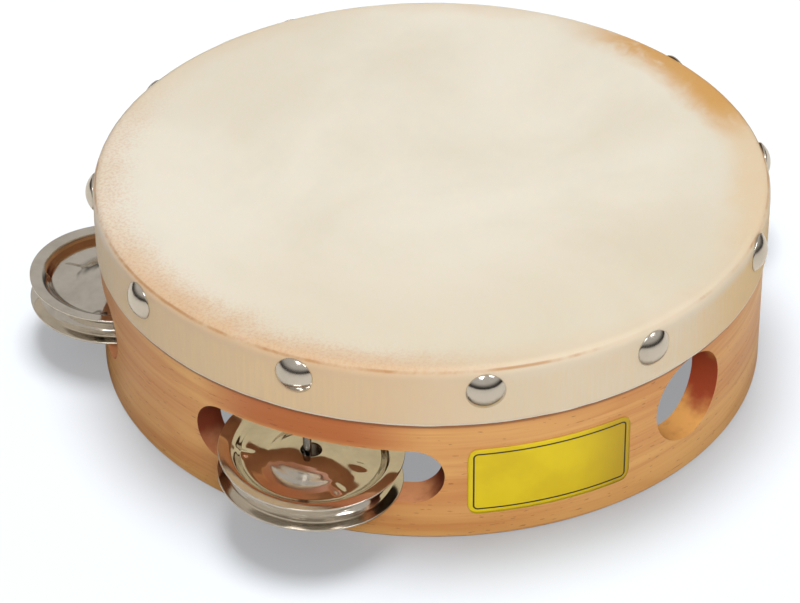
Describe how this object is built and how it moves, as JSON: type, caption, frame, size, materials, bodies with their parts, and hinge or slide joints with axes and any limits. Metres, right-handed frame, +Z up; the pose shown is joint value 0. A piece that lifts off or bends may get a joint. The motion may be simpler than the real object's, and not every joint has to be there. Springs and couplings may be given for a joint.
{
  "type": "headed tambourine",
  "caption": "Shallow hand drum: a bent wooden hoop with a tacked hide head, pairs of loose dished jingles that slide on nails across slots in the hoop, and a round hand hole.",
  "frame": {"origin": "on the drum's axis, in the plane of the hoop's open edge, which the drum stands on", "axes": "+Z up along the drum's axis towards the head; the hand hole faces -Y, and the sticker and the jingles seen in front are on the -X side of it"},
  "size_m": [0.2394, 0.2094, 0.0602],
  "materials": {
    "hoop_wood": "satin lacquer over pale bent wood, fine grain round the hoop",
    "head_hide": "cream rawhide, dry and matte, with darker freckles and amber patches by the rim",
    "tack_nickel": "polished nickel plate",
    "jingle_nickel": "polished nickel plate, lightly brushed round the rim",
    "pin_steel": "bright drawn wire nail",
    "label_film": "plain yellow sticker with a soft sheen"
  },
  "bodies": {
    "drum": {"hoop": "hoop_wood", "drum_head": "head_hide", "label": "label_film", "tack_01": "tack_nickel", "tack_02": "tack_nickel", "tack_03": "tack_nickel", "tack_04": "tack_nickel", "tack_05": "tack_nickel", "tack_06": "tack_nickel", "tack_07": "tack_nickel", "tack_08": "tack_nickel", "tack_09": "tack_nickel", "tack_10": "tack_nickel", "tack_11": "tack_nickel", "jingle_pin_1": "pin_steel", "jingle_pin_2": "pin_steel", "jingle_pin_3": "pin_steel", "jingle_pin_4": "pin_steel"},
    "jingle_1_lower": {"jingle_1_lower": "jingle_nickel"},
    "jingle_1_upper": {"jingle_1_upper": "jingle_nickel"},
    "jingle_2_lower": {"jingle_2_lower": "jingle_nickel"},
    "jingle_2_upper": {"jingle_2_upper": "jingle_nickel"},
    "jingle_3_lower": {"jingle_3_lower": "jingle_nickel"},
    "jingle_3_upper": {"jingle_3_upper": "jingle_nickel"},
    "jingle_4_lower": {"jingle_4_lower": "jingle_nickel"},
    "jingle_4_upper": {"jingle_4_upper": "jingle_nickel"}
  },
  "joints": [
    {"name": "jingle_1_lower_slide", "type": "slide", "parent": "drum", "child": "jingle_1_lower", "axis": [0, 0, 1], "range_m": [0, 0.0023]},
    {"name": "jingle_1_upper_slide", "type": "slide", "parent": "jingle_1_lower", "child": "jingle_1_upper", "axis": [0, 0, 1], "range_m": [0, 0.0023]},
    {"name": "jingle_2_lower_slide", "type": "slide", "parent": "drum", "child": "jingle_2_lower", "axis": [0, 0, 1], "range_m": [0, 0.0042]},
    {"name": "jingle_2_upper_slide", "type": "slide", "parent": "jingle_2_lower", "child": "jingle_2_upper", "axis": [0, 0, 1], "range_m": [0, 0.0042]},
    {"name": "jingle_3_lower_slide", "type": "slide", "parent": "drum", "child": "jingle_3_lower", "axis": [0, 0, 1], "range_m": [0, 0.00368]},
    {"name": "jingle_3_upper_slide", "type": "slide", "parent": "jingle_3_lower", "child": "jingle_3_upper", "axis": [0, 0, 1], "range_m": [0, 0.00368]},
    {"name": "jingle_4_lower_slide", "type": "slide", "parent": "drum", "child": "jingle_4_lower", "axis": [0, 0, 1], "range_m": [0, 0.00362]},
    {"name": "jingle_4_upper_slide", "type": "slide", "parent": "jingle_4_lower", "child": "jingle_4_upper", "axis": [0, 0, 1], "range_m": [0, 0.00362]}
  ]
}
